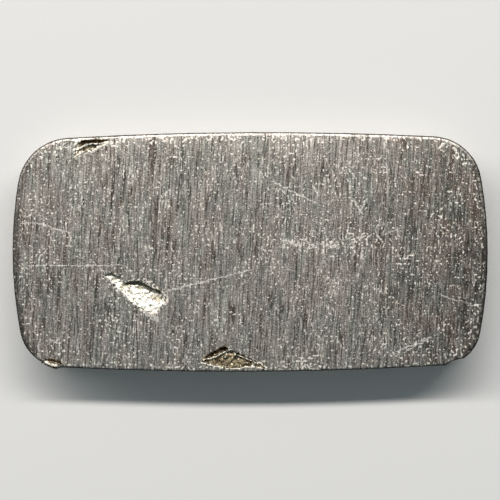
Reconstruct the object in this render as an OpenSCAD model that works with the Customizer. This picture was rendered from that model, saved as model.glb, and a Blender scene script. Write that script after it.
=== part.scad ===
// Cast metal ingot: a small bar poured in an open mould, then belt ground flat on its pour face.
// It lies on its mould side, with the ground pour face up. Origin: middle of the base, on the floor.

/* [Bar] */
// Length of the ground face, end to end (X)
bar_l = 86; // [60:0.5:120]
// Width of the ground face, side to side (Y)
bar_w = 43.4; // [32:0.1:64]
// Thickness, base to ground face (Z)
bar_t = 8.6; // [6:0.1:14]
// How far the middle of a long side stands out beyond its ends
side_bow = 1.5; // [0.5:0.1:3]
// How far the middle of an end stands out beyond its corners
end_bow = 3.1; // [1:0.1:5]

/* [Corners] */
// Corner radius at the back right (+X, +Y)
corner_back_right = 9.1; // [5:0.1:12]
// Corner radius at the back left
corner_back_left = 9.6; // [5:0.1:12]
// Corner radius at the front left
corner_front_left = 7.8; // [5:0.1:12]
// Corner radius at the front right
corner_front_right = 7.2; // [5:0.1:12]

/* [Mould] */
// Draft of the walls, which narrow towards the base, in degrees
draft = 4; // [1:0.5:8]
// Fillet between the walls and the base
base_fillet = 2; // [0.5:0.1:3]
// Rounding of the ground face's rim
rim_round = 0.5; // [0.2:0.1:1]

/* [Front void] */
// Middle of the void, left or right of the bar's middle
front_void_x = -3; // [-15:0.5:15]
// Strip of ground face left between the void and the front edge
front_void_strip = 0.7; // [0.6:0.1:3]
// Depth of the void's floor at its deep side
front_void_depth = 0.9; // [0.4:0.1:1.5]
// Depth of the crevice along its back left side
front_crevice_depth = 1.7; // [0.8:0.1:2.5]

/* [Torn gouge] */
// Middle of the gouge, measured from the left end
gouge_from_end = 22.5; // [18:0.5:40]
// Middle of the gouge, behind (+) or in front (-) of the bar's middle
gouge_y = -7.5; // [-9:0.5:9]
// Depth of the gouge at its deep side
gouge_depth = 1.3; // [0.5:0.1:2]

/* [Back lap] */
// Middle of the lap, measured from the left end
lap_from_end = 14; // [12:0.5:40]
// Strip of ground face left between the lap and the back edge
lap_strip = 0.65; // [0.6:0.05:3]
// Depth of the slot under the lap
lap_slot_depth = 1.5; // [0.5:0.1:2.5]
// Depth of the shallow groove in front of the slot
lap_groove_depth = 0.3; // [0.1:0.05:0.6]

/* [Corner fold] */
// Place of the fold round the front left corner, in degrees (270 is the front)
fold_angle = 256; // [235:1:265]
// How far the folded lip stands out from the wall
fold_lip = 0.35; // [0.1:0.05:0.6]
// Depth of the notch behind the lip
fold_notch_depth = 0.8; // [0.3:0.1:1.5]

/* [Edge nick] */
// Place of the nick round the front right corner, in degrees (270 is the front)
nick_angle = 291; // [280:1:320]
// How far the nick sets the ground face's edge back
nick_set_back = 0.8; // [0.4:0.1:1.2]
// Height of the nick down the wall
nick_h = 3; // [1:0.1:4]

/* [Hidden] */

// Half sizes, and how far a cut starts above the ground face
half_l = bar_l / 2;
half_w = bar_w / 2;
above = 1;
// Smallest depth of a void's floor, at its shallow side
shallow = 0.06;
// Size of the slab above a void's floor, larger than any void
slab = 20;
// Straight pieces in a quarter of the outline: end, corner and side
end_steps = 4;
corner_steps = 10;
side_steps = 7;
// Straight pieces in the base fillet and in the rim's rounding
fillet_steps = 6;
rim_steps = 4;

// Radii of the long side's and the end's arcs, from chord and bow
side_r = (pow(half_l, 2) + pow(side_bow, 2)) / (2 * side_bow);
end_r = (pow(half_w, 2) + pow(end_bow, 2)) / (2 * end_bow);
side_centre = [0, half_w - side_r];
end_centre = [half_l - end_r, 0];

// Centre of a corner arc that runs smoothly into both, for the quarter with x and y above 0
function corner_centre(r) =
    let (to_end = end_centre - side_centre)
    let (span = norm(to_end))
    let (from_side = side_r - r)
    let (from_end = end_r - r)
    let (along = (pow(from_side, 2) - pow(from_end, 2) + pow(span, 2)) / (2 * span))
    let (across = sqrt(pow(from_side, 2) - pow(along, 2)))
    let (unit = to_end / span)
    side_centre + along * unit + across * [unit[1], -unit[0]];

function direction(v) = atan2(v[1], v[0]);
function on_arc(centre, r, angle) = centre + r * [cos(angle), sin(angle)];

// A quarter of the outline, from the end's middle to the side's middle, set in by inset
function quarter(r, inset) =
    let (centre = corner_centre(r))
    let (end_angle = direction(centre - end_centre))
    let (side_angle = direction(centre - side_centre))
    concat(
        [for (i = [0:end_steps - 1]) on_arc(end_centre, end_r - inset, end_angle * i / end_steps)],
        [for (i = [0:corner_steps - 1])
            on_arc(centre, r - inset, end_angle + (side_angle - end_angle) * i / corner_steps)],
        [for (i = [0:side_steps])
            on_arc(side_centre, side_r - inset, side_angle + (90 - side_angle) * i / side_steps)]
    );

function flipped(points, flip) = [for (p = points) [p[0] * flip[0], p[1] * flip[1]]];
function backwards(points) = [for (i = [len(points) - 1:-1:0]) points[i]];
// The same points without the last, which the next quarter repeats
function open_end(points) = [for (i = [0:len(points) - 2]) points[i]];

// The whole outline, anticlockwise, set in by inset
function outline(inset) = concat(
    open_end(quarter(corner_back_right, inset)),
    open_end(backwards(flipped(quarter(corner_back_left, inset), [-1, 1]))),
    open_end(flipped(quarter(corner_front_left, inset), [-1, -1])),
    open_end(backwards(flipped(quarter(corner_front_right, inset), [1, -1])))
);

// How far the drafted wall is set in at height z
function wall_inset(z) = (bar_t - rim_round - z) * tan(draft);

// Section of the bar's edge, from base to ground face, as [height, inset]
edge_section = concat(
    [for (i = [0:fillet_steps])
        let (a = 90 * i / fillet_steps)
        [base_fillet * (1 - cos(a)), wall_inset(base_fillet) + base_fillet * (1 - sin(a))]],
    [for (i = [0:rim_steps])
        let (a = 90 * i / rim_steps)
        [bar_t - rim_round * (1 - sin(a)), rim_round * (1 - cos(a))]]
);

function at_height(points, z) = [for (p = points) [p[0], p[1], z]];

// Solid through a stack of rings of as many points each, closed by its first and last ring
module through_rings(rings) {
    n = len(rings[0]);
    last = len(rings) - 1;
    points = [for (ring = rings) for (p = ring) p];
    walls = [for (k = [0:last - 1]) for (i = [0:n - 1])
        let (j = (i + 1) % n)
        for (half = [[k * n + i, k * n + n + j, k * n + j], [k * n + i, k * n + n + i, k * n + n + j]])
            half];
    bottom = [for (i = [0:n - 1]) i];
    top = [for (i = [n - 1:-1:0]) last * n + i];
    polyhedron(points, concat([bottom, top], walls));
}

// A void cut into the ground face: upright walls below the rim, and a flat floor that starts
// shallow and gets deeper in the direction given, in degrees round from +X, down to the depth given
module face_void(rim, deepens, depth) {
    reach = [for (p = rim) p * [cos(deepens), sin(deepens)]];
    tilt = atan((depth - shallow) / (max(reach) - min(reach)));
    intersection() {
        translate([0, 0, bar_t - depth - above]) linear_extrude(depth + 2 * above) polygon(rim);
        translate([0, 0, bar_t - shallow]) rotate([0, 0, deepens]) translate([min(reach), 0, 0])
            rotate([0, tilt, 0]) translate([-slab, -slab, 0]) cube([2 * slab, 2 * slab, slab]);
    }
}

// Y of the long side's edge at x, for the half with y above 0
function side_edge(x) = side_centre[1] + sqrt(pow(side_r, 2) - pow(x, 2));

// Rims of the voids, anticlockwise, each about its own origin
// Front void: origin on its front lip, under the peak of its back side
front_void_rim = [
    [6, -0.35], [4.9, 0.7], [3.2, 1.6], [1.2, 2.5], [-0.6, 3.3], [-2.4, 3.3], [-4.6, 2], [-5.9, 1.1],
    [-4.2, 0.6], [-2.6, 0.3], [-1.3, 0], [0.8, 0], [2.4, 0.3], [3.9, 0.3], [5, 0]
];
// Crevice: the deep part of the front void, behind its inner ridge
front_crevice_rim = [
    [-0.9, 3.6], [-1.6, 3.9], [-2.4, 3.8], [-3.6, 3.1], [-4.7, 2.5], [-5.8, 1.5],
    [-5, 1.4], [-3.9, 1.8], [-2.6, 2.3], [-1.4, 2.9]
];
// Gouge: origin in its middle
gouge_rim = [
    [5.3, -1.3], [4.7, -0.3], [4.4, 0.5], [3.1, 0.9], [1.7, 1.7], [0.2, 2.4], [-1.3, 2.3], [-2.2, 1.9],
    [-2.9, 3.1], [-4.7, 3.9], [-6, 3.5], [-4.8, 2.3], [-2.6, 0.2], [-0.8, -1.7], [1.4, -2.9], [3.5, -3.6],
    [3.9, -2.5]
];
// Slot under the back lap, and the groove in front of it: origin on the slot's back edge
lap_slot_rim = [
    [3.4, -0.2], [2.9, 0], [1.2, 0.05], [-0.1, 0], [-1.4, -0.15], [-2, -0.8], [-1.4, -1], [-0.5, -0.85],
    [1.1, -0.5], [2.3, -0.4]
];
lap_groove_rim = [
    [2.9, -0.7], [1.6, -0.25], [0.2, -0.45], [-1.2, -0.65], [-2, -1.6], [-2.6, -2.5], [-2.4, -3],
    [-0.9, -2.1], [0.4, -1.8], [1.4, -1.3]
];
// Notch behind the corner fold's lip, and the lip: origin on the wall, X along it and Y outward
fold_notch_rim = [
    [1.7, -0.8], [0.4, -0.8], [-0.5, -0.9], [-1.9, -0.7], [-1.5, -1.1], [-0.6, -1.4], [0.3, -1.4], [1, -1.2]
];
fold_lip_rim = [[2.2, -1], [2.2, -0.1], [1.2, 0.35], [0.2, 0.8], [-0.6, 1], [-1.2, 0.7], [-1.6, -0.1], [-1.6, -1]];

// Place and turn of something on the front corners' edge, from the corner's radius and side
module on_front_corner(r, side, angle) {
    centre = corner_centre(r);
    place = on_arc([side * centre[0], -centre[1]], r, angle);
    translate([place[0], place[1], 0]) rotate([0, 0, angle - 90]) children();
}

module bar_blank() {
    through_rings([for (level = edge_section) at_height(outline(level[1]), level[0])]);
}

module front_void() {
    translate([front_void_x, front_void_strip - side_edge(front_void_x), 0]) {
        face_void(front_void_rim, 90, front_void_depth);
        face_void(front_crevice_rim, 110, front_crevice_depth);
    }
}

module torn_gouge() {
    translate([gouge_from_end - half_l, gouge_y, 0]) face_void(gouge_rim, 63, gouge_depth);
}

module back_lap() {
    x = lap_from_end - half_l;
    translate([x, side_edge(x) - lap_strip, 0]) {
        face_void(lap_slot_rim, 90, lap_slot_depth);
        face_void(lap_groove_rim, 90, lap_groove_depth);
    }
}

// Lip folded over the edge: a low swelling on the wall, which rises from it and dies out again
module fold_lip_body() {
    lip_top = bar_t - 0.3;
    levels = [[-2.6, 0], [-1.6, 0.8], [-0.7, 1], [0, 0.7]];
    through_rings([for (level = levels)
        [for (p = fold_lip_rim)
            [p[0] * (0.6 + 0.4 * level[1]), p[1] > 0 ? p[1] * fold_lip * level[1] : p[1], lip_top + level[0]]]]);
}

module fold_notch() {
    face_void(fold_notch_rim, 90, fold_notch_depth);
}

// The nick: a shallow scoop off the edge, from above the face down the wall
module edge_nick() {
    levels = [[-nick_h, 0], [-rim_round, 0.6], [0, 1], [above, 1]];
    scoop = [[2.3, 0.6], [-2.3, 0.6], [-1.9, -0.3], [-0.8, -0.9], [0.7, -1], [1.8, -0.5]];
    through_rings([for (level = levels)
        [for (p = scoop)
            [p[0], p[1] > 0 ? p[1] : p[1] * nick_set_back * level[1] - wall_inset(bar_t + level[0]), bar_t + level[0]]]]);
}

module ingot() {
    color("#8a857c")
    difference() {
        union() {
            bar_blank();
            on_front_corner(corner_front_left, -1, fold_angle) fold_lip_body();
        }
        front_void();
        torn_gouge();
        back_lap();
        on_front_corner(corner_front_left, -1, fold_angle) fold_notch();
        on_front_corner(corner_front_right, 1, nick_angle) edge_nick();
    }
}

ingot();
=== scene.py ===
"""A small cast bar of silver, ground flat on its pour face, lying on a pale floor."""

import math

import bmesh
import bpy
import numpy as np
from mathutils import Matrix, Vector, kdtree, noise


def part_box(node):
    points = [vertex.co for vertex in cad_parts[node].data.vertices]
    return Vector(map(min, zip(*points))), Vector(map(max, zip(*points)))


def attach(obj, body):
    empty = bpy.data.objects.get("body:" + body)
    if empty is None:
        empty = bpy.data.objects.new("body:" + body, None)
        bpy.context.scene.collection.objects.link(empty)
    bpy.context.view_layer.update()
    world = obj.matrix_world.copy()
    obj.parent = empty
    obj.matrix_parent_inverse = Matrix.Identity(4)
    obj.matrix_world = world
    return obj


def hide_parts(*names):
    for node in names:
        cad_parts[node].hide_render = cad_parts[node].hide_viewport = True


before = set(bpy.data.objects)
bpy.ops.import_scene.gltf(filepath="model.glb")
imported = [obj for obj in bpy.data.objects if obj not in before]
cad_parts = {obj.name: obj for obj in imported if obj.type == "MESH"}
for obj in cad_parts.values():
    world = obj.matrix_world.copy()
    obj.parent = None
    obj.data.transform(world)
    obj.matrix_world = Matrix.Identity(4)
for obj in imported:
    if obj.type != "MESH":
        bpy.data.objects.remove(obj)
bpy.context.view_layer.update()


# Camera: it looks straight down on the ground face with a long lens, as a copy stand does,
# and a little behind the bar's middle, so that more floor shows behind it than in front.
mm = 0.001
bar_low, bar_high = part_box("ingot")
view_width = 90.3 * mm
lens_length = 200
camera_side, camera_back = -0.03 * mm, 0.36 * mm
camera_turn = math.radians(-0.26)
camera_data = bpy.data.cameras.new("copy_stand_camera")
camera_data.lens = lens_length
camera_data.clip_start = 10 * mm
camera_height = view_width * lens_length / camera_data.sensor_width
camera = bpy.data.objects.new("copy_stand_camera", camera_data)
camera.location = (camera_side, camera_back, bar_high.z + camera_height)
camera.rotation_euler = (0, 0, camera_turn)
bpy.context.scene.collection.objects.link(camera)
bpy.context.scene.camera = camera
bpy.context.scene.view_settings.view_transform = "Standard"


# Floor: a large sheet of pale card with a faint tooth. It isn't part of the bar, which lies on it
# with its mould side down.
class Signal:
    """A value or colour that varies over a surface. Arithmetic on values adds Math nodes."""

    def __init__(self, finish, socket):
        self.finish = finish
        self.socket = socket

    def maths(self, operation, *values):
        return self.finish.add("Math", {"operation": operation}, dict(enumerate(values)))

    def __add__(self, other):
        return self.maths("ADD", self, other)

    def __radd__(self, other):
        return self.maths("ADD", other, self)

    def __sub__(self, other):
        return self.maths("SUBTRACT", self, other)

    def __rsub__(self, other):
        return self.maths("SUBTRACT", other, self)

    def __mul__(self, other):
        return self.maths("MULTIPLY", self, other)

    def __rmul__(self, other):
        return self.maths("MULTIPLY", other, self)

    def lowest(self, other):
        return self.maths("MINIMUM", self, other)

    def highest(self, other):
        return self.maths("MAXIMUM", self, other)

    def ramp(self, start, end):
        """0 below start and 1 above end, with a smooth step between; it falls where start is above end."""
        inputs = {"Value": self, "From Min": start, "From Max": end, "To Min": 0.0, "To Max": 1.0}
        return self.finish.add("MapRange", {"interpolation_type": "SMOOTHSTEP"}, inputs)


class Finish:
    """A node material. Sizes on the surface are in millimetres."""

    def __init__(self, name):
        self.material = bpy.data.materials.new(name)
        self.material.use_nodes = True
        self.nodes = self.material.node_tree.nodes
        self.nodes.clear()
        place = self.add("TexCoord", {}, {}, "Object")
        self.place = self.add("VectorMath", {"operation": "SCALE"}, {"Vector": place, "Scale": 1 / mm})

    def add(self, kind, settings, inputs, output=0):
        """A node of that kind with its settings made first, then its inputs; gives one output."""
        node = self.nodes.new("ShaderNode" + kind)
        for name, value in settings.items():
            setattr(node, name, value)
        for name, value in inputs.items():
            if isinstance(value, Signal):
                self.material.node_tree.links.new(value.socket, node.inputs[name])
            else:
                node.inputs[name].default_value = value
        return Signal(self, node.outputs[output]) if node.outputs else None

    def noise(self, stretch, detail=2.0, seed=0.0, output="Fac", place=None):
        """Cloudy noise, with that many features a millimetre along each axis of a place."""
        start = self.place if place is None else place
        shift = (seed, -seed, seed)
        spread = self.add("Mapping", {}, {"Vector": start, "Location": shift, "Scale": stretch})
        inputs = {"Vector": spread, "Scale": 1.0, "Detail": detail, "Roughness": 0.55}
        return self.add("TexNoise", {}, inputs, output)

    def line(self, stretch, width, seed, place):
        """Thin lines of even width, along the contours of stretched noise."""
        rise = self.noise(stretch, detail=0.0, seed=seed, place=place) - 0.5
        return rise.maths("ABSOLUTE", rise).ramp(width, 0.4 * width)

    def mask(self, name):
        return self.add("Attribute", {"attribute_name": name}, {}, "Fac")

    def blend(self, amount, under, over):
        """Colour over laid on colour under by amount."""
        settings = {"data_type": "RGBA", "clamp_factor": True}
        return self.add("Mix", settings, {0: amount, 6: under, 7: over}, 2)

    def shine(self, settings):
        """The finished material, from one shader with those inputs."""
        shader = self.add("BsdfPrincipled", {}, settings)
        self.add("OutputMaterial", {}, {"Surface": shader})
        return self.material


card_half = 3.0
card_dark, card_light = (0.785, 0.785, 0.775, 1), (0.805, 0.805, 0.795, 1)
card_mesh = bmesh.new()
bmesh.ops.create_grid(card_mesh, x_segments=1, y_segments=1, size=card_half)
card_data = bpy.data.meshes.new("pale_card")
card_mesh.to_mesh(card_data)
card_mesh.free()
card = bpy.data.objects.new("pale_card", card_data)
bpy.context.scene.collection.objects.link(card)
card_finish = Finish("pale_card")
tooth = card_finish.noise((2.0, 2.0, 2.0), detail=3.0)
card_colour = card_finish.blend(tooth, card_dark, card_light)
card_look = {"Base Color": card_colour, "Roughness": 0.9, "Specular IOR Level": 0.1}
card_data.materials.append(card_finish.shine(card_look))


# Light: one long, narrow soft box behind the bar and left of it, two fifths of the way down from
# overhead, which rakes across the grinding marks, and a plain soft fill from all round.
key_distance = 0.8
key_side = -0.95
key_angle = math.radians(37)
key_length, key_depth = 3.2, 0.07
key_power = 18.8
fill_strength = 0.17
key_data = bpy.data.lights.new("strip_box", "AREA")
key_data.shape = "RECTANGLE"
key_data.size = key_length
key_data.size_y = key_depth
key_data.energy = key_power
key_data.color = (1.0, 0.96, 0.927)
key = bpy.data.objects.new("strip_box", key_data)
key.location = (key_side, key_distance * math.sin(key_angle), key_distance * math.cos(key_angle))
key.rotation_euler = (-key_angle, 0, 0)
key.visible_camera = False
bpy.context.scene.collection.objects.link(key)
fill = bpy.data.worlds.new("soft_fill")
fill.use_nodes = True
fill_inputs = fill.node_tree.nodes["Background"].inputs
fill_inputs["Color"].default_value = (0.8, 0.95, 1.0, 1)
fill_inputs["Strength"].default_value = fill_strength
bpy.context.scene.world = fill


# Ingot: one bar of silver, poured in an open mould. The walls and base keep the frosty skin of
# the mould, the pour face was ground flat on a coarse belt run across the bar, and the casting
# voids near its edges were left open, with the golden-brown toning that the belt never reached.
top = bar_high.z / mm
left, right = bar_low.x / mm, bar_high.x / mm
front, back = bar_low.y / mm, bar_high.y / mm
rim_round = 0.5
base_fillet = 2.0
deepest_void = 2.5
widest = top - rim_round
under_rim = top - 2 * rim_round

# Middle of each fault, in plan
front_void = Vector((-3.0, front + 2.6))
gouge = Vector((left + 22.5, -7.5))
back_lap = Vector((left + 14.0, back - 1.5))
corner_fold = Vector((left + 7.2, front + 1.3))
front_notch = Vector((15.6, -19.9))

bar = bmesh.new()
bar.from_mesh(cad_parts["ingot"].data)
weld_gap = 0.0005
flat_limit = math.radians(0.1)
bmesh.ops.scale(bar, vec=(1 / mm,) * 3, verts=bar.verts)
bmesh.ops.remove_doubles(bar, verts=bar.verts, dist=weld_gap)
bmesh.ops.dissolve_limit(bar, angle_limit=flat_limit, verts=bar.verts, edges=bar.edges, delimit=set())


def faces_where(test):
    return [face for face in bar.faces if test(face.calc_center_median())]


def cut_across(faces, axis, pitch):
    """Cuts faces with even planes across an axis."""
    reach = [v.co[axis] for face in faces for v in face.verts]
    low, high = min(reach), max(reach)
    strips = max(1, round((high - low) / pitch))
    normal = Vector((0, 0, 0))
    normal[axis] = 1
    on_plane = 1e-5
    part = {item for face in faces for item in (face, *face.edges, *face.verts)}
    for i in range(1, strips):
        place = normal * (low + (high - low) * i / strips)
        cut = bmesh.ops.bisect_plane(bar, geom=list(part), dist=on_plane, plane_co=place, plane_no=normal)
        part = cut["geom"]


def halve_edges(axis, longest, test):
    """Halves the edges that run along an axis, again and again, until none is longer than longest."""
    long_edges = True
    while long_edges:
        long_edges = []
        for edge in bar.edges:
            start, end = (v.co for v in edge.verts)
            run = [abs(value) for value in end - start]
            if run[axis] == max(run) and run[axis] > longest and test((start + end) / 2):
                long_edges.append(edge)
        bmesh.ops.subdivide_edges(bar, edges=long_edges, cuts=1, use_grid_fill=True)


coarse = 1.5
groove_pitch, ground_pitch, skin_pitch, void_pitch = 0.2, 0.4, 0.8, 0.15
faults = ((front_void, 6.8, 2.9), (gouge, 6.8, 4.6), (back_lap, 4.4, 2.1), (corner_fold, 2.8, 1.7))
for axis in (0, 1):
    cut_across(list(bar.faces), axis, coarse)
cut_across(faces_where(lambda c: base_fillet < c.z < widest), 2, coarse)
for middle, half_x, half_y in faults:
    def near(c, middle=middle, half_x=half_x, half_y=half_y):
        return c.z > top - deepest_void and abs(c.x - middle.x) < half_x and abs(c.y - middle.y) < half_y
    for axis in (0, 1):
        cut_across(faces_where(near), axis, void_pitch)
bmesh.ops.triangulate(bar, faces=[face for face in bar.faces if len(face.verts) > 4])
halve_edges(0, groove_pitch, lambda c: c.z > under_rim)
halve_edges(1, ground_pitch, lambda c: c.z > under_rim)
for axis in (0, 1, 2):
    halve_edges(axis, skin_pitch, lambda c: c.z <= under_rim)

# Where each corner of the mesh lies: how high, how far inside the bar's outline, and how far from
# a void's rim
bar.verts.ensure_lookup_table()
bar.normal_update()
rest = np.array([v.co for v in bar.verts])
facing = np.array([v.normal for v in bar.verts])
heights = rest[:, 2]


def spaced(points, gap):
    """Points along straight runs between pairs of points, no further apart than gap."""
    runs = []
    for a, b in points:
        steps = max(1, math.ceil((b - a).length / gap))
        runs += [a.lerp(b, i / steps) for i in range(steps + 1)]
    return runs


def distance_to(points):
    """Distance in plan from every corner of the mesh to the nearest of some points."""
    tree = kdtree.KDTree(len(points))
    for i, point in enumerate(points):
        tree.insert((point.x, point.y, 0), i)
    tree.balance()
    return np.array([tree.find((x, y, 0))[2] for x, y, _ in rest])


level_gap, open_depth = 0.002, 0.01
past_rim = rim_round + 0.05
outline_gap, rim_gap = 0.1, 0.05
outline = [
    [Vector((v.co.x, v.co.y)) for v in e.verts] for e in bar.edges
    if all(abs(v.co.z - widest) < level_gap for v in e.verts)
]
inside = distance_to(spaced(outline, outline_gap))
in_void = (inside > past_rim) & (heights < top - open_depth) & (heights > top - deepest_void)
on_face = (heights > top - level_gap)
rims = [
    [Vector((v.co.x, v.co.y)) for v in e.verts] for e in bar.edges
    if len(e.link_faces) == 2 and all(on_face[v.index] for v in e.verts)
    and min(f.calc_center_median().z for f in e.link_faces) < top - open_depth
    and all(inside[v.index] > past_rim for v in e.verts)
]
from_rim = distance_to(spaced(rims, rim_gap))


def step(values, start, end):
    """0 below start, 1 above end and a smooth step between; it falls where start is above end."""
    t = np.clip((values - start) / (end - start), 0, 1)
    return t * t * (3 - 2 * t)


def clouds(stretch, seed=0.0):
    """Smooth noise from about -1 to 1, with that many features a millimetre along each axis."""
    offset = np.array((seed, -seed, seed))
    return np.array([noise.noise(Vector(p)) for p in rest * np.array(stretch) + offset])


def around(middle, near, far):
    """1 within near of a place in plan, falling to 0 at far."""
    return step(np.hypot(rest[:, 0] - middle.x, rest[:, 1] - middle.y), far, near)


def beside(middle, offsets, reach):
    """1 on a line drawn through offsets from a place, falling to 0 at reach from it, in plan."""
    nearest = np.full(len(rest), np.inf)
    places = [middle + Vector(offset) for offset in offsets]
    for start, end in zip(places, places[1:]):
        run = end - start
        from_start = rest[:, :2] - np.array(start)
        share = np.clip(from_start @ np.array(run) / run.length_squared, 0, 1)
        gap = from_start - share[:, None] * np.array(run)
        nearest = np.minimum(nearest, np.hypot(gap[:, 0], gap[:, 1]))
    return step(nearest, reach, 0)


def most(*layers):
    """The highest of several layers at every corner of the mesh."""
    return np.maximum.reduce(layers)


# The belt's wide waves and its deeper grooves, which run across the bar, and the rolled-off edges
ground_low = 0.08
broad_wave, short_wave = 0.02, 0.012
groove_depth, score_depth, dint_depth = 0.012, 0.010, 0.04
roll_depth, roll_reach = 0.27, 3.6
on_ground = step(heights, widest, top - 0.05) * (1 - in_void)
waves = broad_wave * clouds((0.09, 0.05, 0.1)) + short_wave * clouds((0.4, 0.12, 0.1), seed=7)
grooves = groove_depth * clouds((1.7, 0.10, 0.1), seed=3) + score_depth * clouds((2.2, 0.5, 0.1), seed=11)
dints = -dint_depth * step(clouds((0.8, 0.8, 0.1), seed=21), 0.42, 0.7)
back_half = step(rest[:, 1], 0, 15)
roll_off = -roll_depth * back_half * np.exp(-inside / roll_reach)

# Lips of burred metal round the faults and one notch in the front rim, each drawn as a line
# through places measured from the middle of its fault
ridge = beside(front_void, [(-5.6, -0.3), (-4.4, -0.1), (-3.3, 0.2), (-2.2, 0.8), (-1.3, 1.3)], 0.32)
far_line = [(-1.3, 1.3), (-0.1, 1.0), (0.5, 0.5), (1.7, 0.1), (3.0, -0.5), (4.4, -1.1)]
far_ridge = beside(front_void, far_line, 0.26)
blobs = most(
    beside(front_void, [(-1.8, 0.1), (-1.5, 0.15)], 0.3),
    beside(front_void, [(0.1, 0.45), (0.5, 0.3)], 0.35),
    beside(front_void, [(1.4, 0.2), (1.7, 0.0)], 0.3),
    beside(front_void, [(3.4, -0.9), (3.8, -1.1)], 0.25),
)
front_lip = step(from_rim, 0.42, 0.0) * on_face
front_lip = front_lip * step(rest[:, 1], front + 2.0, front + 1.7) * around(front_void, 7.0, 7.6)
lap_line = [(-2.4, -3.0), (-1.4, -2.3), (-0.3, -2.0), (0.9, -1.6), (2.1, -0.9), (3.2, -0.4)]
lap_lip = beside(back_lap, lap_line, 0.72)
lap_tongue = beside(back_lap, [(-2.8, -1.7), (-1.6, -1.3), (-0.5, -0.7), (0.9, -0.5), (2.0, -0.6)], 0.30)
lap_nub = beside(back_lap, [(-3.4, 0.1), (-2.2, -0.1), (-2.7, -0.9)], 0.34)
lap_back = beside(back_lap, [(-1.8, 0.45), (3.2, 0.7)], 0.2)
fold_lip = beside(corner_fold, [(-1.4, 0.7), (-0.6, 0.4), (0.0, 0.2), (0.8, -0.05)], 0.45)
notch = beside(front_notch, [(-0.1, 1.5), (0.0, 0.0), (0.0, -1.6)], 0.3)
notch_depth = 0.25
lips = most(ridge, 0.8 * far_ridge, blobs, front_lip, fold_lip, lap_lip, lap_tongue, lap_nub, 0.5 * lap_back)
ground_drop = waves + grooves + dints + roll_off - notch_depth * notch

# The mould's skin on the walls and base: soft flow rings, and grains of the mould wash
ring_depth, wash_depth, grain_depth, ragged_depth = 0.05, 0.03, 0.012, 0.06
skin_low, base_back = 0.09, 0.06
skin = ring_depth * clouds((0.35, 0.35, 0.8), seed=31) + wash_depth * clouds((1.3, 1.3, 1.6), seed=37)
skin = skin + grain_depth * clouds((3, 3, 3), seed=41)
on_wall = step(heights, top, under_rim) * (1 - in_void)
ragged = ragged_depth * step(heights, widest - 1.5, widest) * clouds((1.1, 1.1, 0.3), seed=43)
on_base = step(-facing[:, 2], 0.5, 0.95)

# Torn metal in the voids, rough in every direction and finer in the gouge
rough_depth, fine_low, gouge_less = 0.12, 0.07, 0.045
rough = np.stack([clouds((1.9, 1.9, 2.2), seed) for seed in (51, 61, 71)], axis=1)
fine = np.stack([clouds((5, 5, 5), seed) for seed in (81, 91, 101)], axis=1)
near_void = np.where(in_void, 1.0, step(from_rim, 0.3, 0.0) * on_face)
in_gouge = around(gouge, 7.0, 7.5)
fine_depth = fine_low - gouge_less * in_gouge

# Every corner of the mesh is moved by what lies there, and stays between the floor and the top
move = np.zeros_like(rest)
move[:, 2] += on_ground * (ground_drop - ground_low)
depth_of_skin = on_wall * (skin + ragged - skin_low + base_back * on_base)
move += facing * depth_of_skin[:, None]
move += near_void[:, None] * (rough_depth * rough + fine_depth[:, None] * fine) * np.array((1, 1, 0.9))
raised = 0.5 * np.maximum(ridge, lap_tongue) + 0.45 * far_ridge + 0.25 * blobs + 0.4 * fold_lip
move[:, 2] += np.where(in_void, raised, 0)
move[:, 2] += on_face * (ground_low * lips * (0.7 + 0.6 * fine[:, 0]))
moved = rest + move
moved[:, 2] = np.clip(moved[:, 2], 0, top)
for vertex, place in zip(bar.verts, moved):
    vertex.co = place

# Masks that the finish reads: where the face is ground, how far in from the outline and from a
# void's rim, where the metal is torn bright, and where it has a lip or a crevice
crevices = most(
    beside(front_void, [(-5.4, -0.2), (-4.2, 0.5), (-2.6, 1.2), (-1.6, 1.9)], 0.75),
    beside(front_void, [(-1.0, 0.8), (-0.3, 0.5), (0.3, 0.9)], 0.5),
    beside(gouge, [(-2.6, 1.4), (-1.6, 1.75), (-0.6, 2.05), (0.2, 2.1)], 0.80),
    beside(gouge, [(0.6, 1.1), (0.6, 1.8), (1.5, 1.4), (2.3, 0.9)], 0.75),
    beside(gouge, [(2.3, 0.9), (3.3, 0.8), (4.0, 0.6)], 0.45),
    beside(gouge, [(2.8, -0.6), (3.4, -0.5), (4.4, -0.8), (3.6, -1.2)], 0.6),
    beside(gouge, [(-1.5, 0.5), (-1.1, 0.5)], 0.4),
    beside(back_lap, [(-1.9, -0.7), (-1.2, -0.2), (0.9, 0.0), (3.1, 0.0)], 0.50),
    beside(back_lap, [(-2.3, -2.4), (-1.4, -1.6), (-0.5, -1.15), (0.9, -1.05)], 0.3),
    beside(back_lap, [(-0.1, -1.5), (0.1, -1.4)], 0.3),
    beside(corner_fold, [(-0.5, 0.8), (-0.1, 1.0), (0.9, 0.95), (1.2, 0.4)], 0.5),
)
below_voids = top - deepest_void - 0.8
shallow = step(heights, below_voids, below_voids + 0.5)
off_wall = np.maximum(in_void, step(heights, top - 1.3, top - 0.8))
out_of_reach = 10
masks = {
    "ground": on_ground,
    "inside": inside,
    "rim": np.where(in_void, -from_rim, from_rim) + out_of_reach * (1 - shallow * off_wall),
    "torn": in_gouge,
    "lips": lips * shallow * off_wall,
    "crevices": crevices * shallow * off_wall,
}
bmesh.ops.triangulate(bar, faces=bar.faces)

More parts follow.
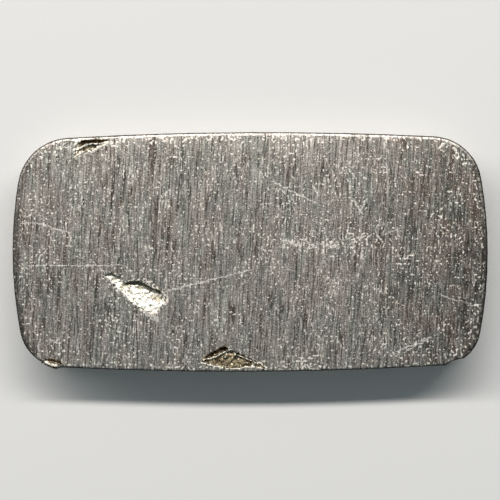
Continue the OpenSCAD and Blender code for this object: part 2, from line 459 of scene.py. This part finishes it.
# Map for baking: the ground face, seen from above, fills the upper half. Below it lie the back and
# front walls, a row for the steep sides of the voids, and the base beside the two end walls.
# A patch is, first across the map and then up it: an axis, where the patch starts on that axis,
# its share of full size, and its place on the map
bar.normal_update()
map_margin = 0.0075
map_scale = (1 - 2 * map_margin) / (right - left)
map_middle = 0.505
face_row, back_row, front_row, pit_row, right_row, last_row = 0.501, 0.385, 0.270, 0.232, 0.125, 0.004
end_share, pit_share, base_share = 0.98, 0.5, 0.45
pit_low = top - deepest_void - 0.2
patches = {
    "face": (0, left, 1.0, map_margin, 1, front, 1.0, face_row),
    "back": (0, left, 1.0, map_margin, 2, 0, 1.0, back_row),
    "front": (0, left, 1.0, map_margin, 2, 0, 1.0, front_row),
    "pit_back": (0, left, pit_share, map_margin, 2, pit_low, 1.0, pit_row),
    "pit_front": (0, left, pit_share, map_middle, 2, pit_low, 1.0, pit_row),
    "right": (1, front, end_share, map_middle, 2, 0, 1.0, right_row),
    "left": (1, front, end_share, map_middle, 2, 0, 1.0, last_row),
    "base": (0, left, base_share, map_margin, 1, front, base_share, last_row),
}


def patch_of(face):
    """The patch of the map that a face lies in, by the way it faces."""
    facing_side = face.normal
    if any(in_void[v.index] for v in face.verts):
        if facing_side.z > 0.1:
            return "face"
        return "pit_front" if facing_side.y < 0 else "pit_back"
    if abs(facing_side.z) > 0.3:
        return "face" if facing_side.z > 0 else "base"
    if abs(facing_side.x) > abs(facing_side.y):
        return "left" if facing_side.x < 0 else "right"
    return "front" if facing_side.y < 0 else "back"


bake_map = bar.loops.layers.uv.new("OFBake")
for face in bar.faces:
    u_axis, u_from, u_share, u_start, v_axis, v_from, v_share, v_start = patches[patch_of(face)]
    for loop in face.loops:
        u = u_start + (loop.vert.co[u_axis] - u_from) * u_share * map_scale
        v = v_start + (loop.vert.co[v_axis] - v_from) * v_share * map_scale
        loop[bake_map].uv = (u, v)

sharpest = math.radians(50)
ingot_data = bpy.data.meshes.new("ingot_body")
bmesh.ops.scale(bar, vec=(mm,) * 3, verts=bar.verts)
for face in bar.faces:
    face.smooth = True
bar.to_mesh(ingot_data)
bar.free()
for name, values in masks.items():
    layer = ingot_data.attributes.new(name, "FLOAT", "POINT")
    layer.data.foreach_set("value", values.astype(np.float32))
ingot_data.set_sharp_from_angle(angle=sharpest)
ingot = bpy.data.objects.new("ingot_body", ingot_data)
bpy.context.scene.collection.objects.link(ingot)
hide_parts("ingot")
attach(ingot, "root")

# Finish: bright grinding marks on grey silver, white torn metal, toned voids, frosty mould skin
green_grey, rose_grey = (0.098, 0.099, 0.081, 1), (0.154, 0.110, 0.091, 1)
green_white, rose_white = (0.975, 0.945, 0.862, 1), (0.995, 0.930, 0.856, 1)
# The first silver below paints the rim's burr with its highlight; the second paints the lips with theirs
highlight_silver, lip_highlight_silver = (0.99, 0.94, 0.86, 1), (0.98, 0.93, 0.80, 1)
skin_dark, skin_light = (0.34, 0.328, 0.30, 1), (0.54, 0.525, 0.49, 1)
# Both greys below are painted shade for the dark line round the rim
skin_rim_shade, rim_shade_grey = (0.07, 0.065, 0.06, 1), (0.05, 0.046, 0.042, 1)
# The first brown below is painted shade along the edges of the ground face; the second is grime
edge_shade_brown, grime_brown = (0.07, 0.063, 0.055, 1), (0.06, 0.052, 0.042, 1)
torn_dark, torn_light, torn_pit = (0.48, 0.46, 0.40, 1), (0.82, 0.805, 0.71, 1), (0.16, 0.15, 0.12, 1)
toned_brown, toned_olive = (0.055, 0.042, 0.025, 1), (0.165, 0.14, 0.088, 1)
shut_brown, shut_olive = (0.25, 0.195, 0.125, 1), (0.34, 0.32, 0.245, 1)

silver = Finish("ground_silver")
ground = silver.mask("ground")
torn_here = silver.mask("torn")
inward = silver.mask("inside")
from_void = silver.mask("rim")
along, across, height = (silver.add("SeparateXYZ", {}, {0: silver.place}, axis) for axis in "XYZ")
near_top = height.ramp(top - 1.5, top - 0.8)
belt_lean = math.radians(3.5)
belt = silver.add("Mapping", {}, {"Vector": silver.place, "Rotation": (0, 0, belt_lean)})

# The belt's marks, which lean a little from straight across: soft stripes and speckle, dark
# scores, and thin bright lines
long_marks = 6 * (silver.noise((5.6, 0.22, 0.3), detail=1.0, seed=3.0, place=belt) - 0.5)
speckle = 6 * (silver.noise((4.6, 3.8, 3.0), detail=1.0, seed=23.0, place=belt) - 0.5)
tint = silver.noise((0.5, 0.16, 0.3), seed=93.0, place=belt).ramp(0.38, 0.62)


def belt_lines(stretch, width, seed, gaps, gap_seed, start, end):
    """Thin lines along the belt's run, broken by gaps where a second noise is below start."""
    whole = silver.noise(gaps, detail=0.0, seed=gap_seed, place=belt).ramp(start, end)
    return silver.line(stretch, width, seed, belt) * whole


fine_scores = belt_lines((2.0, 0.10, 0.3), 0.045, 53.0, (1.6, 0.25, 0.3), 55.0, 0.42, 0.55)
deep_scores = belt_lines((1.1, 0.045, 0.3), 0.032, 57.0, (1.0, 0.09, 0.3), 59.0, 0.43, 0.52)
bright_lines = belt_lines((1.7, 0.14, 0.3), 0.038, 113.0, (1.9, 0.4, 0.3), 117.0, 0.48, 0.60)

# Painted glints: bright specks and short dashes put into the colour, which crowd in patches, at the edges,
# in one scuffed row and round the gouge
clusters = silver.noise((0.30, 0.22, 0.2), seed=73.0) - 0.5
back_edge = inward.ramp(2.2, 0.8) * across.ramp(15, 19)
end_edge = inward.ramp(3.2, 1.2) * along.ramp(33, 38)
front_edge = across.ramp(-19.5, -20.8)
scuffed_row = across.ramp(-1.0, 1.0) * across.ramp(4.0, 2.0) * along.ramp(0, 6) * along.ramp(32, 24)
by_gouge = torn_here * from_void.ramp(1.2, 0.1)
crowd = 0.55 * clusters + 0.15 * back_edge + 0.10 * end_edge + 0.12 * front_edge
crowd = crowd + 0.09 * scuffed_row + 0.18 * by_gouge
glint_dots = (silver.noise((2.3, 2.0, 2.0), detail=0.0, seed=67.0) + 0.75 * crowd).ramp(0.732, 0.756)
dash_noise = silver.noise((4.0, 0.8, 1.0), detail=0.0, seed=83.0, place=belt)
glint_dashes = (dash_noise + 0.5 * crowd).ramp(0.715, 0.76)
grain = silver.noise((3.2, 2.6, 3.0), detail=3.0, seed=33.0) - 0.5
coarse_grain = silver.noise((2.0, 2.0, 2.0), seed=37.0)

# Scratches and blows that cross the grinding marks: each runs from one place to another, in plan,
# and has half a width. They sway a little and are broken up along their length
sway_reach = 0.9
sway = silver.noise((1.1, 1.1, 1.1), seed=107.0, output="Color")
sway = silver.add("VectorMath", {"operation": "SUBTRACT"}, {0: sway, 1: (0.5, 0.5, 0.5)})
sway = silver.add("VectorMath", {"operation": "SCALE"}, {0: sway, "Scale": sway_reach})
swayed = silver.add("VectorMath", {"operation": "ADD"}, {0: silver.place, 1: sway})


def scratch(start, end, half_width):
    """A scratch between two places on the ground face, 1 along its middle."""
    start, end = Vector(start), Vector(end)
    run = end - start
    middle = (start + end) / 2
    any_depth = 100
    inputs = {
        "Vector": swayed, "Location": (middle.x, middle.y, 0), "Rotation": (0, 0, math.atan2(run.y, run.x)),
        "Scale": (run.length / 2, half_width, any_depth),
    }
    spot = silver.add("Mapping", {"vector_type": "TEXTURE"}, inputs)
    spot = silver.add("VectorMath", {"operation": "ABSOLUTE"}, {0: spot})
    spot = silver.add("VectorMath", {"operation": "SUBTRACT"}, {0: spot, 1: (1, 0, 0)})
    spot = silver.add("VectorMath", {"operation": "MAXIMUM"}, {0: spot, 1: (0, 0, 0)})
    return silver.add("VectorMath", {"operation": "LENGTH"}, {0: spot}, "Value").ramp(1.3, 0.5)


marks = (
    ((-17.5, -7.6), (-9.5, -5.6), 0.14), ((-9.5, -5.6), (-2.7, -3.9), 0.14),
    ((-36.6, -2.3), (-27.4, -2.3), 0.12), ((-27.6, -2.3), (-26.5, -3.4), 0.12),
    ((-36.1, -15.8), (-35.4, -16.2), 0.17), ((-35.4, -16.2), (-34.7, -15.4), 0.17),
    ((27.3, -17.7), (30.7, -16.2), 0.15), ((28.9, -17.6), (31.8, -16.0), 0.13),
    ((35.8, -8.4), (39.4, -9.5), 0.14), ((5.9, 11.8), (9.9, 9.8), 0.14),
    ((6.4, 1.95), (7.6, 1.9), 0.2), ((7.4, 1.7), (8.6, 1.3), 0.3),
    ((12.7, 1.35), (15.0, 1.0), 0.2), ((14.6, -0.9), (15.7, -0.9), 0.14),
    ((-34.2, 14.8), (-33.8, 14.2), 0.12), ((-33.8, 14.2), (-33.4, 14.9), 0.12),
    ((17.4, 2.2), (18.3, 2.7), 0.12), ((19.0, 8.9), (19.9, 7.4), 0.2),
    ((19.9, 7.4), (20.6, 8.8), 0.16), ((-40.6, 5.4), (-37.8, 5.2), 0.13),
    ((-37.8, 5.2), (-34.4, 4.2), 0.13), ((-37.9, -0.6), (-36.9, 0.4), 0.14),
    ((-18.8, -10.9), (-17.2, -12.0), 0.45), ((-16.9, -9.6), (-15.4, -8.8), 0.2),
    ((8.0, 2.5), (8.25, 1.3), 0.14), ((9.8, 2.3), (10.5, 1.5), 0.17),
    ((11.1, 0.8), (12.0, 1.2), 0.15), ((16.3, 2.1), (17.0, 1.1), 0.15),
    ((20.2, 2.6), (21.6, 2.9), 0.14), ((22.8, 3.4), (23.5, 2.2), 0.17),
    ((24.8, 3.3), (26.3, 3.9), 0.13), ((13.4, 0.2), (13.5, -1.6), 0.12),
    ((-38.25, -16.8), (-38.3, -17.7), 0.18), ((-38.3, -18.4), (-38.25, -19.0), 0.3),
    ((11.4, 11.9), (12.0, 10.9), 0.12), ((10.3, 19.0), (10.4, 16.6), 0.11),
    ((15.85, -18.6), (15.85, -21.0), 0.14),
)
broken = silver.noise((2.6, 2.6, 2.6), seed=103.0).ramp(0.37, 0.50)
scratched = (sum(scratch(*mark) for mark in marks) * broken).lowest(1.0)

# Ground face
shade = -0.19 * along.ramp(14, 39) - 0.05 * along.ramp(-32, -40)
level = 0.34 + shade + 0.15 * long_marks + 0.085 * speckle
# Painted glints lighten the ground colour in specks and dashes
level = level + 0.18 * bright_lines + 0.95 * glint_dots + 0.34 * glint_dashes
level = level - 0.25 * fine_scores - 0.30 * deep_scores
level = (level + 0.95 * scratched).highest(0.03).lowest(1.0)
sheen = silver.noise((0.16, 0.12, 0.2), seed=97.0).ramp(0.40, 0.60)
dark_silver = silver.blend(tint, green_grey, rose_grey)
light_silver = silver.blend(sheen, green_white, rose_white)
ground_colour = silver.blend(level, dark_silver, light_silver)

# Mould skin, with painted shade in a dark band along the top of the rim
ripples = silver.noise((0.12, 0.12, 1.8), seed=19.0)
frost = 0.5 * silver.noise((0.6, 0.6, 0.9), detail=4.0, seed=17.0) + 0.5 * ripples + 0.5 * grain
skin_colour = silver.blend(frost.ramp(0.34, 0.64), skin_dark, skin_light)
# The top millimetre of the rim, where painted shade darkens it
rim_shade_band = (height + 1.4 * grain).ramp(top - 1.0, top - 0.5)
skin_colour = silver.blend(rim_shade_band * (inward + 0.1 * grain).ramp(0.42, 0.22), skin_colour, skin_rim_shade)
colour = silver.blend(ground, skin_colour, ground_colour)

# Painted shade along the edges of the ground face, strongest at the two ends, and grime on the right end; a
# bright burr where the belt turned the edge, with a painted highlight on it
ends = along.maths("ABSOLUTE", along).ramp(35, 40)
# Painted shade: the ground face darkens near its edges, most at the two ends, fading out along the front
# edge
edge_shade = (inward + 1.5 * grain).ramp(1.5, 0.5) * (0.16 + 0.6 * ends) * across.ramp(-20.5, -17) * near_top
colour = silver.blend(edge_shade, colour, edge_shade_brown)
grime = silver.noise((0.9, 0.7, 0.8), detail=3.0, seed=123.0).ramp(0.46, 0.60)
grime = grime * along.ramp(33, 40) * across.ramp(8, 0)
colour = silver.blend(0.65 * grime * ground * (1.0 - glint_dots), colour, grime_brown)
# A bright burr round the rim with a painted highlight, strongest along the back edge, which faces the lamp,
# and weaker at the ends
burr_highlight = (inward + 0.5 * grain).ramp(0.30, 0.42) * (inward + 0.8 * grain).ramp(0.8, 0.5)
burr_highlight = burr_highlight * (coarse_grain + 0.5 * grain).ramp(0.42, 0.56) * near_top
colour = silver.blend(burr_highlight * (0.38 + 0.3 * across.ramp(5, 18) - 0.3 * ends), colour, highlight_silver)

# Voids: torn bright metal in the gouge, olive and brown toning in the others
pits = (coarse_grain + 0.3 * grain).ramp(0.41, 0.33)
torn_metal = silver.blend(speckle.ramp(-1.2, 1.0), torn_dark, torn_light)
torn_colour = silver.blend(pits, torn_metal, torn_pit)
flaws = silver.noise((0.9, 1.5, 1.0), seed=47.0) + 0.8 * grain
toned_colour = silver.blend(flaws.ramp(0.36, 0.66), toned_brown, toned_olive)
void_colour = silver.blend(torn_here, toned_colour, torn_colour)
void_here = (from_void + 1.5 * (coarse_grain - 0.5) + 1.2 * grain).ramp(0.04, -0.08)
colour = silver.blend(void_here, colour, void_colour)
crevice = (silver.mask("crevices") + 1.5 * (coarse_grain - 0.5) + 1.6 * grain).ramp(0.25, 0.60)
colour = silver.blend(crevice, colour, silver.blend(torn_here, shut_brown, shut_olive))
# Burred lips round the voids, with a painted highlight along them
lip_highlight = (silver.mask("lips") + 2.4 * (coarse_grain - 0.5) + 2.4 * grain).ramp(0.38, 0.70)
colour = silver.blend(0.92 * lip_highlight, colour, lip_highlight_silver)
# Painted shade: a dark line round the outer edge of the rounded rim
rim_shade = (inward + 0.25 * grain).ramp(0.32, 0.20) * rim_shade_band
colour = silver.blend(rim_shade, colour, rim_shade_grey)

roughness = 0.03 * long_marks + 0.04 * speckle + 0.13 * glint_dots + 0.08 * glint_dashes
roughness = (0.43 + ground * roughness + 0.10 * lip_highlight).highest(0.15).lowest(0.8)
relief = ground * (0.005 * long_marks + 0.006 * speckle) + (1 - ground) * 0.03 * grain
relief = relief + 0.04 * void_here * grain
bumps = silver.add("Bump", {}, {"Height": relief * mm, "Distance": 1.0, "Strength": 1.0}, "Normal")
ingot_look = {"Base Color": colour, "Metallic": 1.0, "Roughness": roughness, "Normal": bumps}
ingot_data.materials.append(silver.shine(ingot_look))
